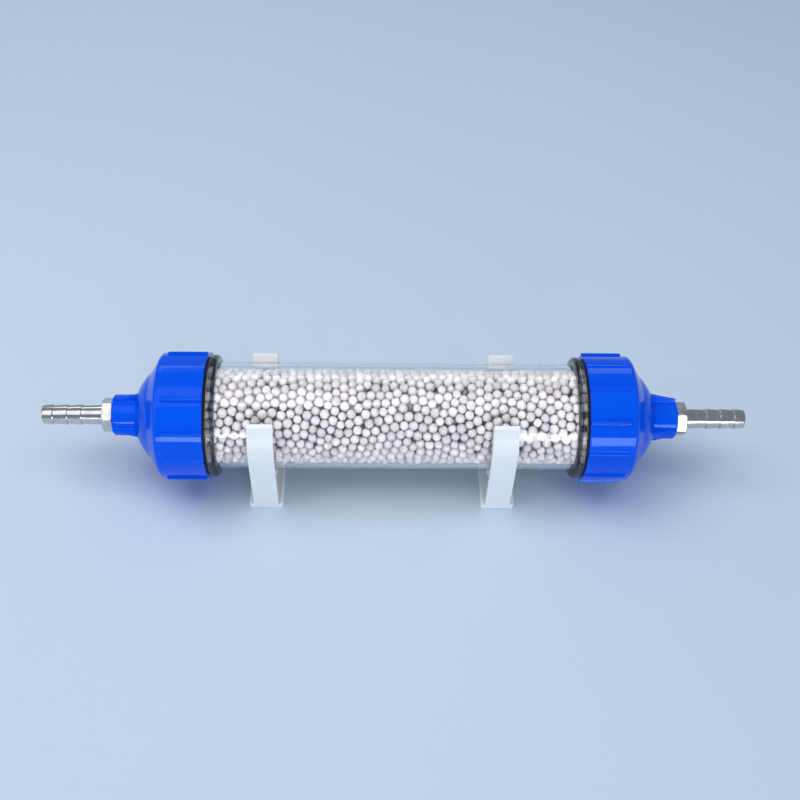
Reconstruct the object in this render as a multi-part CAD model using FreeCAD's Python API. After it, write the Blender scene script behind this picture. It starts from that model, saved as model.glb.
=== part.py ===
import FreeCAD, Part
import math
import os

# Drying tube: a clear tube full of desiccant beads, closed at each end by a domed
# screw cap with a hose barb, lying in two snap-in clips.
# Millimetres. The tube runs along X with x = 0 at its middle, and the clips stand
# on z = 0. An end is drawn once, about the tube's own axis and facing +X. The left
# end is the same parts turned half round about Z.

# Clear tube, moulded in one piece with a collar and a thread land at each end
tube_outer_radius = 25.0
tube_wall = 2.5
tube_half_length = 99.8
axis_height = 39.0
collar_height = 3.5
collar_width = 3.5
collar_round = 1.7
collar_edge_chamfer = 0.45
thread_land_length = 14.4
thread_root_rise = 1.0
thread_depth = 0.8
thread_clearance = 0.3
thread_lead_in = 1.0

# Seal ring on the tube, between the collar and the cap's rim
seal_section = 1.8
seal_groove_rise = 0.5
seal_clearance = 0.3
seal_fit_gap = 0.02

# Screw cap
rim_gap = 1.3
cap_wall = 2.1
rib_height = 1.3
rib_width = 1.7
rib_count = 12
rib_end_setback = 1.4
rib_end_round = 0.9
rib_edge_round = 0.5
rim_chamfer = 0.4
end_clearance = 0.4
ledge_wall = 4.1
ledge_width = 2.5
shoulder_round = 2.4
shoulder_angle = 60.0
dome_step_radius = 21.2
dome_sphere_radius = 29.0
dome_wall = 2.8
plenum_end_share = 0.8
dome_end_radius = 12.2
neck_length = 11.9
neck_radius = 9.6
neck_edge_chamfer = 0.7
fin_count = 4
fin_thickness = 1.5
fin_root_radius = 13.5
fin_tip_radius = 10.8
fin_tip_setback = 0.7

# Hose barb: hexagon, barbed tail and the thread that screws into the neck
barb_bore_radius = 3.0
barb_thread_radius = 6.5
barb_thread_length = 11.0
barb_thread_clearance = 0.1
barb_thread_chamfer = 0.6
hex_across_flats = 14.0
hex_thickness = 4.75
hex_chamfer = 0.8
stem_root_radius = 4.7
stem_valley_radius = 4.25
barb_crest_radius = 4.85
stem_length = 10.1
barb_pitch = 6.6
barb_count = 3
tip_length = 5.1
tip_radius = 4.3
tip_chamfer = 0.7

# Strainer disc carried in the cap, and the foam pad that holds the beads back
strainer_clearance = 0.3
strainer_thickness = 2.2
strainer_gap = 0.2
strainer_hole_radius = 4.2
strainer_hole_circle = 14.0
strainer_hole_count = 6
pad_thickness = 4.6
pad_wall_gap = 0.3
pad_face_gap = 0.2

# Desiccant beads: the outer layer's size and spacing shape the bed's surface
bead_diameter = 4.1
bead_row_share = 0.87
bead_valley_depth = 1.1
bead_wall_gap = 0.3

# Clips
clip_left_x = -61.3
clip_right_x = 49.3
clip_arm_width = 11.8
clip_wall = 2.5
clip_grip_gap = 0.1
clip_mouth_angle = 38.0
clip_lip_length = 4.0
clip_lip_angle = 62.0
clip_lip_setback = 9.0
clip_lip_wall = 2.0
clip_lip_round = 0.7
base_width = 16.0
base_length = 48.0
base_thickness = 2.4
base_rim_width = 1.3
base_rim_height = 0.9
base_corner_round = 1.2
post_radius = 5.0
screw_radius = 2.2
screw_head_radius = 4.2
screw_head_depth = 2.0

# How far each end part is turned about the tube's axis, seen from outside
right_cap_turn = -14.6
left_cap_turn = 2.1
right_hex_turn = 58.2
left_hex_turn = 29.5

# How far a cutting shape runs past what it cuts
overcut = 1.0

# Sizes worked out from those above
tube_inner_radius = tube_outer_radius - tube_wall
collar_radius = tube_outer_radius + collar_height
collar_face_x = tube_half_length - thread_land_length
thread_root_radius = tube_outer_radius + thread_root_rise
thread_crest_radius = thread_root_radius + thread_depth
seal_inner_radius = tube_outer_radius + seal_groove_rise
seal_outer_radius = seal_inner_radius + seal_section
seal_groove_end_x = collar_face_x + seal_section + seal_clearance
cap_rim_x = collar_face_x + rim_gap
cap_bore_radius = thread_crest_radius + thread_clearance
cap_body_radius = cap_bore_radius + cap_wall
rib_radius = cap_body_radius + rib_height
cap_shoulder_x = tube_half_length + end_clearance
strainer_radius = cap_bore_radius - ledge_width - strainer_clearance
ledge_x = cap_shoulder_x + strainer_thickness + strainer_gap
ledge_radius = strainer_radius + strainer_clearance - ledge_width
body_end_x = ledge_x + ledge_wall
rib_end_x = body_end_x - rib_end_setback
shoulder_slope = math.tan(math.radians(shoulder_angle))
shoulder_tangent = shoulder_round * math.tan(math.radians(shoulder_angle / 2))
dome_step_x = body_end_x + shoulder_tangent + (cap_body_radius - dome_step_radius) / shoulder_slope
sphere_x = dome_step_x - math.sqrt(dome_sphere_radius**2 - dome_step_radius**2)
neck_root_x = sphere_x + math.sqrt(dome_sphere_radius**2 - dome_end_radius**2)
fin_root_x = sphere_x + math.sqrt(dome_sphere_radius**2 - fin_root_radius**2)
neck_end_x = neck_root_x + neck_length
neck_bore_radius = barb_thread_radius + barb_thread_clearance
hex_end_x = neck_end_x + hex_thickness
stem_end_x = hex_end_x + stem_length
barb_tip_x = stem_end_x + barb_pitch * (barb_count - 1) + tip_length
pad_end_x = cap_shoulder_x - pad_face_gap
bed_half_length = pad_end_x - pad_thickness - pad_face_gap
bed_radius = tube_inner_radius - bead_wall_gap

centre = FreeCAD.Vector(0, 0, 0)
along = FreeCAD.Vector(1, 0, 0)
up = FreeCAD.Vector(0, 0, 1)


def point(x, r):
    return FreeCAD.Vector(x, 0, r)


def line(start, end):
    return Part.LineSegment(start, end).toShape()


def arc(start, middle, end):
    return Part.Arc(start, middle, end).toShape()


def closed_outline(corners):
    return Part.makePolygon(corners + corners[:1])


def revolved(outline):
    return Part.Face(outline).revolve(centre, along, 360)


def turned(corners):
    # a solid of revolution from (x, radius) corners
    return revolved(closed_outline([point(x, r) for x, r in corners]))


def cylinder(radius, start_x, end_x):
    return Part.makeCylinder(radius, end_x - start_x, point(start_x, 0), along)


def hexagon(across_flats, start_x, end_x):
    reach = across_flats / 2 / math.cos(math.pi / 6)
    corners = []
    for side in range(6):
        angle = math.radians(60 * side)
        corners.append(FreeCAD.Vector(start_x, reach * math.cos(angle), reach * math.sin(angle)))
    return Part.Face(closed_outline(corners)).extrude(along * (end_x - start_x))


def around(shape, count, start_angle=0.0):
    # copies of a shape at equal steps about the tube's axis
    copies = []
    for step in range(count):
        copies.append(shape.rotated(centre, along, start_angle + 360.0 * step / count))
    return copies


def make_tube():
    # one end's outline is mirrored for the other, so the tube is a single turning
    collar_back_x = collar_face_x - collar_width
    outer = []
    outer.append((collar_back_x, tube_outer_radius))
    outer.append((collar_back_x, collar_radius))
    outer.append((collar_face_x - collar_edge_chamfer, collar_radius))
    outer.append((collar_face_x, collar_radius - collar_edge_chamfer))
    outer.append((collar_face_x, seal_inner_radius))
    outer.append((seal_groove_end_x, seal_inner_radius))
    outer.append((seal_groove_end_x, thread_root_radius))
    outer.append((tube_half_length - thread_lead_in, thread_root_radius))
    outer.append((tube_half_length, thread_root_radius - thread_lead_in))
    mirrored = [(-x, r) for x, r in reversed(outer)]
    ends = [(tube_half_length, tube_inner_radius), (-tube_half_length, tube_inner_radius)]
    tube = turned(outer + ends + mirrored)
    collar_edges = []
    for edge in tube.Edges:
        if isinstance(edge.Curve, Part.Circle) and abs(edge.Curve.Radius - collar_radius) < 0.01:
            if abs(abs(edge.Curve.Center.x) - collar_back_x) < 0.01:
                collar_edges.append(edge)
    return tube.makeFillet(collar_round, collar_edges)


def make_seal():
    # a round-section ring resting in the groove and against the collar
    section_radius = seal_section / 2 - seal_fit_gap
    middle_x = collar_face_x + seal_section / 2
    ring = Part.makeTorus(seal_inner_radius + seal_section / 2, section_radius, centre, along)
    ring.translate(point(middle_x, 0))
    return ring


def dome_outline():
    # rim, straight skirt, rounded shoulder, steep cone, then a part of a sphere
    bend = math.radians(shoulder_angle)
    round_centre = point(body_end_x, cap_body_radius - shoulder_round)
    half_way = round_centre + point(
        shoulder_round * math.sin(bend / 2), shoulder_round * math.cos(bend / 2)
    )
    round_end = round_centre + point(shoulder_round * math.sin(bend), shoulder_round * math.cos(bend))
    dome_step = point(dome_step_x, dome_step_radius)
    neck_root = point(neck_root_x, dome_end_radius)
    sphere_middle_radius = (dome_step_radius + dome_end_radius) / 2
    sphere_middle = point(
        sphere_x + math.sqrt(dome_sphere_radius**2 - sphere_middle_radius**2), sphere_middle_radius
    )
    rim_outer = point(cap_rim_x, cap_body_radius - rim_chamfer)
    skirt_start = point(cap_rim_x + rim_chamfer, cap_body_radius)
    skirt_end = point(body_end_x, cap_body_radius)
    edges = [line(point(cap_rim_x, 0), rim_outer)]
    edges.append(line(rim_outer, skirt_start))
    edges.append(line(skirt_start, skirt_end))
    edges.append(arc(skirt_end, half_way, round_end))
    edges.append(line(round_end, dome_step))
    edges.append(arc(dome_step, sphere_middle, neck_root))
    edges.append(line(neck_root, point(neck_root_x, 0)))
    edges.append(line(point(neck_root_x, 0), point(cap_rim_x, 0)))
    return Part.Wire(edges)


def make_rib():
    # a straight grip rib with a sloping, rounded run-out at the dome end
    foot = cap_bore_radius + cap_wall / 2
    edges = [line(point(cap_rim_x, foot), point(cap_rim_x, rib_radius - rim_chamfer))]
    edges.append(line(point(cap_rim_x, rib_radius - rim_chamfer), point(cap_rim_x + rim_chamfer, rib_radius)))
    bend_start = point(rib_end_x - rib_end_round, rib_radius)
    turn = rib_end_round * math.sqrt(0.5)
    bend_middle = point(rib_end_x - rib_end_round + turn, rib_radius - rib_end_round + turn)
    bend_end = point(rib_end_x, rib_radius - rib_end_round)
    edges.append(line(point(cap_rim_x + rim_chamfer, rib_radius), bend_start))
    edges.append(arc(bend_start, bend_middle, bend_end))
    edges.append(line(bend_end, point(rib_end_x, foot)))
    edges.append(line(point(rib_end_x, foot), point(cap_rim_x, foot)))
    side = Part.Face(Part.Wire(edges))
    side.translate(FreeCAD.Vector(0, -rib_width / 2, 0))
    rib = side.extrude(FreeCAD.Vector(0, rib_width, 0))
    top_edges = []
    for edge in rib.Edges:
        middle = edge.CenterOfMass
        if middle.z > rib_radius - 0.01 and abs(middle.y) > rib_width / 2 - 0.01:
            top_edges.append(edge)
    return rib.makeFillet(rib_edge_round, top_edges)


def make_fin():
    # a gusset from the dome along the neck, in line with a grip rib
    tip_x = neck_end_x - fin_tip_setback
    corners = []
    corners.append(point(neck_root_x - dome_wall, neck_bore_radius + barb_thread_clearance))
    corners.append(point(neck_root_x - dome_wall, fin_root_radius))
    corners.append(point(fin_root_x, fin_root_radius))
    corners.append(point(tip_x, fin_tip_radius))
    corners.append(point(tip_x, neck_bore_radius + barb_thread_clearance))
    side = Part.Face(closed_outline(corners))
    side.translate(FreeCAD.Vector(0, -fin_thickness / 2, 0))
    return side.extrude(FreeCAD.Vector(0, fin_thickness, 0))


def cap_hollow():
    # counterbore for the seal, thread bore, strainer recess, plenum and neck bore
    slant = math.radians(shoulder_angle)
    cone_shift = dome_wall / math.sin(slant)
    plenum_end_x = dome_step_x - cone_shift + (dome_step_radius - ledge_radius) / shoulder_slope
    inner_sphere = dome_sphere_radius - dome_wall
    bore_meets_sphere_x = sphere_x + math.sqrt(inner_sphere**2 - neck_bore_radius**2)
    arc_start_radius = ledge_radius * plenum_end_share
    arc_start_x = sphere_x + math.sqrt(inner_sphere**2 - arc_start_radius**2)
    arc_middle_radius = (arc_start_radius + neck_bore_radius) / 2
    arc_middle_x = sphere_x + math.sqrt(inner_sphere**2 - arc_middle_radius**2)
    counterbore_radius = seal_outer_radius + seal_clearance
    corners = [(cap_rim_x - overcut, 0.0), (cap_rim_x - overcut, counterbore_radius)]
    corners.append((seal_groove_end_x, counterbore_radius))
    corners.append((seal_groove_end_x, cap_bore_radius))
    corners.append((cap_shoulder_x, cap_bore_radius))
    corners.append((cap_shoulder_x, strainer_radius + strainer_clearance))
    corners.append((ledge_x, strainer_radius + strainer_clearance))
    corners.append((ledge_x, ledge_radius))
    corners.append((min(plenum_end_x, arc_start_x), ledge_radius))
    corners.append((arc_start_x, arc_start_radius))
    stations = [point(x, r) for x, r in corners]
    edges = []
    for start, end in zip(stations, stations[1:]):
        edges.append(line(start, end))
    sphere_end = point(bore_meets_sphere_x, neck_bore_radius)
    edges.append(arc(stations[-1], point(arc_middle_x, arc_middle_radius), sphere_end))
    last = [sphere_end, point(neck_end_x + overcut, neck_bore_radius)]
    last.append(point(neck_end_x + overcut, 0))
    for start, end in zip(last, last[1:] + stations[:1]):
        edges.append(line(start, end))
    return revolved(Part.Wire(edges))


def make_cap():
    body = revolved(dome_outline())
    neck = turned([
        (neck_root_x - dome_wall, 0.0),
        (neck_root_x - dome_wall, neck_radius),
        (neck_end_x - neck_edge_chamfer, neck_radius),
        (neck_end_x, neck_radius - neck_edge_chamfer),
        (neck_end_x, 0.0),
    ])
    additions = [neck] + around(make_rib(), rib_count) + around(make_fin(), fin_count)
    return body.fuse(additions).removeSplitter().cut(cap_hollow())


def make_barb():
    # threaded shank, chamfered hexagon and a tail of saw-toothed rings, all bored
    shank_start_x = neck_end_x - barb_thread_length
    hex_corner_radius = hex_across_flats / 2 / math.cos(math.pi / 6)
    corners = [(shank_start_x, 0.0), (shank_start_x, barb_thread_radius - barb_thread_chamfer)]
    corners.append((shank_start_x + barb_thread_chamfer, barb_thread_radius))
    corners.append((neck_end_x + hex_thickness / 2, barb_thread_radius))
    corners.append((neck_end_x + hex_thickness / 2, stem_root_radius))
    corners.append((hex_end_x, stem_root_radius))
    step_x = stem_end_x
    for tooth in range(barb_count):
        corners.append((step_x, stem_valley_radius))
        corners.append((step_x, barb_crest_radius))
        step_x = step_x + barb_pitch
    corners.append((barb_tip_x - tip_chamfer, tip_radius))
    corners.append((barb_tip_x, tip_radius - tip_chamfer))
    corners.append((barb_tip_x, 0.0))
    spindle = turned(corners)
    nut = hexagon(hex_across_flats, neck_end_x, hex_end_x)
    nut_trim = turned([
        (neck_end_x, 0.0),
        (neck_end_x, hex_corner_radius - hex_chamfer),
        (neck_end_x + hex_chamfer / 2, hex_corner_radius),
        (hex_end_x - hex_chamfer / 2, hex_corner_radius),
        (hex_end_x, hex_corner_radius - hex_chamfer),
        (hex_end_x, 0.0),
    ])
    bore = cylinder(barb_bore_radius, shank_start_x - overcut, barb_tip_x + overcut)
    return spindle.fuse(nut.common(nut_trim)).cut(bore)


def make_strainer():
    disc = cylinder(strainer_radius, cap_shoulder_x, cap_shoulder_x + strainer_thickness)
    middle_hole = cylinder(strainer_hole_radius, cap_shoulder_x - overcut, ledge_x)
    outer_hole = middle_hole.translated(point(0, strainer_hole_circle))
    return disc.cut([middle_hole] + around(outer_hole, strainer_hole_count))


def make_pad():
    return cylinder(tube_inner_radius - pad_wall_gap, pad_end_x - pad_thickness, pad_end_x)


def make_bead_bed():
    # The packed beads as one solid. Each bead of the outer layer is a low pyramid
    # whose tip touches the bed's outer radius, and the rows are staggered.
    ring_count = round(2 * math.pi * (bed_radius - bead_diameter / 2) / bead_diameter)
    row_count = 2 * round(bed_half_length / (bead_diameter * bead_row_share))
    row_step = 2 * bed_half_length / row_count
    valley_radius = bed_radius - bead_valley_depth

    def spot(column, row, radius):
        angle = 2 * math.pi * (column % ring_count) / ring_count
        x = -bed_half_length + row_step * row
        return FreeCAD.Vector(x, radius * math.cos(angle), radius * math.sin(angle))

    facets = []
    for row in range(row_count + 1):
        shift = (row % 2) / 2
        for column in range(ring_count):
            bead = column + shift
            left = spot(bead - 0.5, row, valley_radius)
            right = spot(bead + 0.5, row, valley_radius)
            at_end = row in (0, row_count)
            tip = spot(bead, row, valley_radius if at_end else bed_radius)
            if at_end:
                # the end rows lie on the flat end faces, joined to the bed's middle
                middle = FreeCAD.Vector(left.x, 0, 0)
                first, last = (left, right) if row else (right, left)
                facets.append([middle, first, tip])
                facets.append([middle, tip, last])
            if row > 0:
                below = spot(bead, row - 1, valley_radius)
                facets.append([tip, left, below])
                facets.append([tip, below, right])
            if row < row_count:
                above = spot(bead, row + 1, valley_radius)
                facets.append([tip, above, left])
                facets.append([tip, right, above])
    return facets


def polar(radius, angle):
    # a point of a clip's side view, measured from the tube's axis
    bearing = math.radians(angle)
    return FreeCAD.Vector(0, radius * math.cos(bearing), radius * math.sin(bearing))


def make_clip(middle_x):
    inner_radius = tube_outer_radius + clip_grip_gap
    outer_radius = inner_radius + clip_wall
    foot = FreeCAD.Vector(0, base_length / 2, -axis_height)
    reach = foot.Length
    foot_bearing = math.degrees(math.atan2(foot.z, foot.y))
    leg_top = foot_bearing + math.degrees(math.acos(outer_radius / reach))
    leg_inside = leg_top - math.degrees(math.acos(inner_radius / outer_radius))
    leg_line = polar(outer_radius, leg_top) - foot
    foot_inside = polar(outer_radius, leg_inside) - leg_line * (
        (polar(outer_radius, leg_inside).z + axis_height) / leg_line.z
    )
    lip_bearing = math.radians(clip_lip_angle)
    lip_along = FreeCAD.Vector(0, math.cos(lip_bearing), math.sin(lip_bearing))
    lip_out = FreeCAD.Vector(0, math.sin(lip_bearing), -math.cos(lip_bearing))
    lip_inner = polar(inner_radius, clip_mouth_angle) + lip_along * clip_lip_length
    lip_outer = lip_inner + lip_out * clip_lip_wall
    edges = [arc(polar(inner_radius, -90), polar(inner_radius, -20), polar(inner_radius, clip_mouth_angle))]
    edges.append(line(polar(inner_radius, clip_mouth_angle), lip_inner))
    edges.append(line(lip_inner, lip_outer))
    lip_root_angle = clip_mouth_angle - clip_lip_setback
    edges.append(line(lip_outer, polar(outer_radius, lip_root_angle)))
    edges.append(
        arc(
            polar(outer_radius, lip_root_angle),
            polar(outer_radius, (lip_root_angle + leg_top) / 2),
            polar(outer_radius, leg_top),
        )
    )
    edges.append(line(polar(outer_radius, leg_top), foot))
    edges.append(line(foot, foot_inside))
    edges.append(line(foot_inside, polar(outer_radius, leg_inside)))
    edges.append(
        arc(
            polar(outer_radius, leg_inside),
            polar(outer_radius, (leg_inside - 90) / 2),
            polar(outer_radius, -90),
        )
    )
    edges.append(line(polar(outer_radius, -90), polar(inner_radius, -90)))
    half = Part.Face(Part.Wire(edges)).extrude(along * clip_arm_width)
    half.translate(along * (-clip_arm_width / 2))
    lip_edges = []
    for edge in half.Edges:
        middle = edge.CenterOfMass
        if abs(middle.x) < 0.01 and middle.z > lip_outer.z - 0.01:
            lip_edges.append(edge)
    half = half.makeFillet(clip_lip_round, lip_edges)
    other_half = half.mirror(centre, FreeCAD.Vector(0, 1, 0))

    base_corner = FreeCAD.Vector(-base_width / 2, -base_length / 2, -axis_height)
    base = Part.makeBox(base_width, base_length, base_thickness + base_rim_height, base_corner)
    upright = [e for e in base.Edges if abs(e.tangentAt(e.FirstParameter).z) > 0.99]
    base = base.makeFillet(base_corner_round, upright)
    channel_width = base_width - 2 * base_rim_width
    channel_corner = FreeCAD.Vector(-channel_width / 2, -base_length, base_thickness - axis_height)
    channel_depth = base_rim_height + overcut
    base = base.cut(Part.makeBox(channel_width, 2 * base_length, channel_depth, channel_corner))

    post_height = axis_height - (inner_radius + outer_radius) / 2
    floor_point = FreeCAD.Vector(0, 0, -axis_height)
    post = Part.makeCylinder(post_radius, post_height, floor_point, up)
    seat_height = axis_height - inner_radius
    screw_hole = Part.makeCylinder(screw_radius, seat_height + overcut, floor_point, up)
    head_floor = floor_point + up * (seat_height - screw_head_depth)
    head_sink = Part.makeCone(screw_radius, screw_head_radius, screw_head_depth, head_floor, up)
    clip = base.fuse([half, other_half, post]).removeSplitter().cut([screw_hole, head_sink])
    return clip.translated(FreeCAD.Vector(middle_x, 0, axis_height))


def facet_solid(facets):
    shell = Part.Shape()
    points = []
    numbers = {}
    triangles = []
    for facet in facets:
        corner_numbers = []
        for corner in facet:
            key = (round(corner.x, 5), round(corner.y, 5), round(corner.z, 5))
            if key not in numbers:
                numbers[key] = len(points)
                points.append(corner)
            corner_numbers.append(numbers[key])
        triangles.append(tuple(corner_numbers))
    shell.makeShapeFromMesh((points, triangles), 0.001)
    return Part.Solid(Part.Shell(shell.Faces))


def on_right(shape, turn=0.0):
    placed = shape.rotated(centre, along, turn)
    return placed.translated(up * axis_height)


def on_left(shape, turn=0.0):
    placed = shape.rotated(centre, along, turn).rotated(centre, up, 180)
    return placed.translated(up * axis_height)


def write(name, shape):
    shape.exportStep(f"parts/{name}.step")
    print(name, len(shape.Solids), shape.isValid(), round(shape.Volume, 1))


os.makedirs("parts", exist_ok=True)
write("tube_body", on_right(make_tube()))
write("desiccant_beads", on_right(facet_solid(make_bead_bed())))

cap = make_cap()
barb = make_barb()
seal = make_seal()
strainer = make_strainer()
pad = make_pad()
write("right_cap", on_right(cap, right_cap_turn))
write("left_cap", on_left(cap, left_cap_turn))
write("right_hose_barb", on_right(barb, right_hex_turn))
write("left_hose_barb", on_left(barb, left_hex_turn))
write("right_cap_seal", on_right(seal))
write("left_cap_seal", on_left(seal))
write("right_strainer", on_right(strainer))
write("left_strainer", on_left(strainer))
write("right_filter_pad", on_right(pad))
write("left_filter_pad", on_left(pad))
write("right_clip", make_clip(clip_right_x))
write("left_clip", make_clip(clip_left_x))
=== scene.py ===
import math
import random

import bmesh
import bpy
from mathutils import Matrix, Vector, kdtree


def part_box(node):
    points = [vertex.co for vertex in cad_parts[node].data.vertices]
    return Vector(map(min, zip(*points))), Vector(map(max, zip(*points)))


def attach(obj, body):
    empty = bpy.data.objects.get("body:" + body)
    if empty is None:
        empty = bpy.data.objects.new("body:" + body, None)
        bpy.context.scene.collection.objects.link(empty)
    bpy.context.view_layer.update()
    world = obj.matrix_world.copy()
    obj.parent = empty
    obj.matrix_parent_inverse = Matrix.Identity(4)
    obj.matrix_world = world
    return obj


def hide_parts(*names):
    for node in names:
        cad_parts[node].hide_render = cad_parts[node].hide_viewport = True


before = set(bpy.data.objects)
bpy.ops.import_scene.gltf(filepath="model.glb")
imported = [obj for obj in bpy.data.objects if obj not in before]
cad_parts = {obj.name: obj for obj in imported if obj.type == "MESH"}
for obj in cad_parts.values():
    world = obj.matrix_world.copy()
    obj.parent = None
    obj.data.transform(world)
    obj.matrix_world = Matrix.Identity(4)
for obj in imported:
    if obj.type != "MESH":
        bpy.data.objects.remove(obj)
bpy.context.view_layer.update()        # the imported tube, its caps, clips and inner pieces

# Lengths in the settings below are millimetres, drawn about the tube's axis.
metresPerMillimetre = 0.001
mergeDistance = 0.0001      # points closer than this are one point
arcShare = 0.48             # the most of a side that one rounded corner takes


def nodeBox(name):
    low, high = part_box(name)
    return low / metresPerMillimetre, high / metresPerMillimetre


tubeLow, tubeHigh = nodeBox("tube_body")
axisHeight = (tubeLow.z + tubeHigh.z) / 2
endTurns = {"right": 0.0, "left": 180.0}     # the left end is the right one turned about Z


# Picture and light

photoCamera = {
    "lens": 52.22,
    "sensor": 36.0,
    "lookDown": 47.84,
    "turn": 1.43,
    "roll": 0.40,
    "distance": 544.8,
    "aimAlong": 2.0,
    "aimUp": 7.8,
}

studio = {
    "floorSize": 3.0,
    "floorFade": (0.70, 1.15),
    "floorColour": (0.58, 0.69, 0.80, 1.0),
    "skyColour": (0.66, 0.79, 0.96, 1.0),
    "skyShown": 0.92,
    "skyGloss": 0.34,
    "skyLight": 0.42,
    "lamps": {
        # name: place and size in metres, watts, colour, and what it lights
        "keySoftbox": ((-0.42, -0.02, 1.05), (0.75, 0.75), 6.3, (1.0, 0.975, 0.945), "surface"),
        "windowRight": ((0.34, -1.20, 0.13), (0.34, 0.34), 3.4, (0.97, 0.98, 1.0), "all"),
        "windowBarb": ((0.62, -1.20, 0.13), (0.22, 0.34), 2.6, (0.97, 0.98, 1.0), "gloss"),
        "windowLeft": ((-0.33, -1.20, 0.12), (0.30, 0.16), 1.6, (0.97, 0.98, 1.0), "all"),
        "overheadFill": ((0.30, -0.25, 1.20), (0.90, 0.50), 3.2, (1.0, 0.985, 0.965), "surface"),
        "leftCard": ((-0.78, -0.40, 1.10), (0.84, 3.00), 10.0, (1.0, 0.985, 0.95), "gloss"),
        "rearCard": ((-0.15, 1.35, 1.05), (1.40, 0.45), 3.5, (1.0, 0.985, 0.96), "gloss"),
    },
}


def addCamera():
    down = math.radians(photoCamera["lookDown"])
    turn = math.radians(photoCamera["turn"])
    roll = math.radians(photoCamera["roll"])
    ahead = Vector((0.0, math.cos(down), -math.sin(down)))
    upward = Vector((0.0, math.sin(down), math.cos(down)))
    side = Vector((1.0, 0.0, 0.0))
    aheadTurned = ahead * math.cos(turn) + side * math.sin(turn)
    sideTurned = side * math.cos(turn) - ahead * math.sin(turn)
    sideRolled = sideTurned * math.cos(roll) + upward * math.sin(roll)
    upRolled = upward * math.cos(roll) - sideTurned * math.sin(roll)
    aim = Vector((photoCamera["aimAlong"], 0.0, axisHeight)) + upRolled * photoCamera["aimUp"]
    place = (aim - aheadTurned * photoCamera["distance"]) * metresPerMillimetre
    facing = Matrix((sideRolled, upRolled, -aheadTurned)).transposed().to_4x4()
    camera = bpy.data.cameras.new("photoCamera")
    camera.lens = photoCamera["lens"]
    camera.sensor_fit = "HORIZONTAL"
    camera.sensor_width = photoCamera["sensor"]
    camera.clip_start = 0.01
    holder = bpy.data.objects.new("photoCamera", camera)
    holder.matrix_world = Matrix.Translation(place) @ facing
    bpy.context.scene.collection.objects.link(holder)
    bpy.context.scene.camera = holder


def addLamps():
    aim = Vector((0.0, 0.0, axisHeight * metresPerMillimetre))
    for name, (place, size, power, colour, lights) in studio["lamps"].items():
        lamp = bpy.data.lights.new(name, "AREA")
        lamp.shape = "RECTANGLE"
        lamp.size, lamp.size_y = size
        lamp.energy = power
        lamp.color = colour
        holder = bpy.data.objects.new(name, lamp)
        holder.location = place
        holder.rotation_euler = (Vector(place) - aim).to_track_quat("Z", "Y").to_euler()
        holder.visible_camera = False
        holder.visible_diffuse = lights != "gloss"
        holder.visible_glossy = lights != "surface"
        bpy.context.scene.collection.objects.link(holder)


def addSky():
    # lights the object softly; the eye, gloss and glass see its pale colour
    world = bpy.data.worlds.new("paleRoom")
    bpy.context.scene.world = world
    world.use_nodes = True
    nodes, links = world.node_tree.nodes, world.node_tree.links
    nodes.clear()
    rays = nodes.new("ShaderNodeLightPath")
    sky = nodes.new("ShaderNodeBackground")
    out = nodes.new("ShaderNodeOutputWorld")
    sky.inputs["Color"].default_value = studio["skyColour"]
    strength = studio["skyLight"]
    for ray, level in (("Glossy", "skyGloss"), ("Transmission", "skyShown"), ("Camera", "skyShown")):
        choose = nodes.new("ShaderNodeMix")
        links.new(rays.outputs["Is " + ray + " Ray"], choose.inputs[0])
        if isinstance(strength, float):
            choose.inputs[2].default_value = strength
        else:
            links.new(strength, choose.inputs[2])
        choose.inputs[3].default_value = studio[level]
        strength = choose.outputs[0]
    links.new(strength, sky.inputs["Strength"])
    links.new(sky.outputs[0], out.inputs["Surface"])


# Materials

tones = {
    # the two colours that a texture mixes
    "cap": ((0.0, 0.080, 0.76), (0.0, 0.090, 0.83)),
    "metal": ((0.56, 0.55, 0.53), (0.72, 0.71, 0.68)),
    "rubber": ((0.008, 0.008, 0.010), (0.020, 0.020, 0.022)),
    # the foam's dark tone is painted shade in the cell hollows
    "foam": ((0.16, 0.16, 0.15), (0.62, 0.61, 0.57)),
    "strainer": ((0.58, 0.59, 0.58), (0.70, 0.71, 0.70)),
    # the clip's off-white is real, its cool bluish cast is painted reflection
    "clip": ((0.82, 0.86, 0.88), (0.88, 0.90, 0.92)),
    "bead": ((0.45, 0.405, 0.415), (0.60, 0.543, 0.555)),
    # the second layer and the core are painted darker: painted shade in the gaps between the outer beads
    "beadPaintedShade": ((0.22, 0.19, 0.195), (0.34, 0.30, 0.305)),
    # the tint of a clear plastic
    "clear": (0.97, 0.985, 0.99),
    # the collar's grey and its edge's near black are painted shade, not the plastic's own tint
    "collar": (0.42, 0.41, 0.42),
    "collarEdge": (0.03, 0.05, 0.09),
}


def newMaterial(name, **values):
    material = bpy.data.materials.new(name)
    material.use_nodes = True
    shader = material.node_tree.nodes["Principled BSDF"]
    for label, value in values.items():
        shader.inputs[label.replace("_", " ")].default_value = value
    return material


def addTexture(material, kind, stretch=(1.0, 1.0, 1.0), **values):
    # a texture on object coordinates; the stretch is in features per metre
    nodes, links = material.node_tree.nodes, material.node_tree.links
    where = nodes.new("ShaderNodeTexCoord")
    mapping = nodes.new("ShaderNodeMapping")
    mapping.inputs["Scale"].default_value = stretch
    texture = nodes.new("ShaderNodeTex" + kind)
    for label, value in values.items():
        texture.inputs[label].default_value = value
    links.new(where.outputs["Object"], mapping.inputs["Vector"])
    links.new(mapping.outputs["Vector"], texture.inputs["Vector"])
    return texture.outputs["Distance" if kind == "Voronoi" else 0]


def spreadOver(material, source, low, high, start=0.3, end=0.7):
    # brings a texture's value into a range
    nodes, links = material.node_tree.nodes, material.node_tree.links
    spread = nodes.new("ShaderNodeMapRange")
    spread.inputs["From Min"].default_value = start
    spread.inputs["From Max"].default_value = end
    spread.inputs["To Min"].default_value = low
    spread.inputs["To Max"].default_value = high
    links.new(source, spread.inputs["Value"])
    return spread.outputs["Result"]


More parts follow.
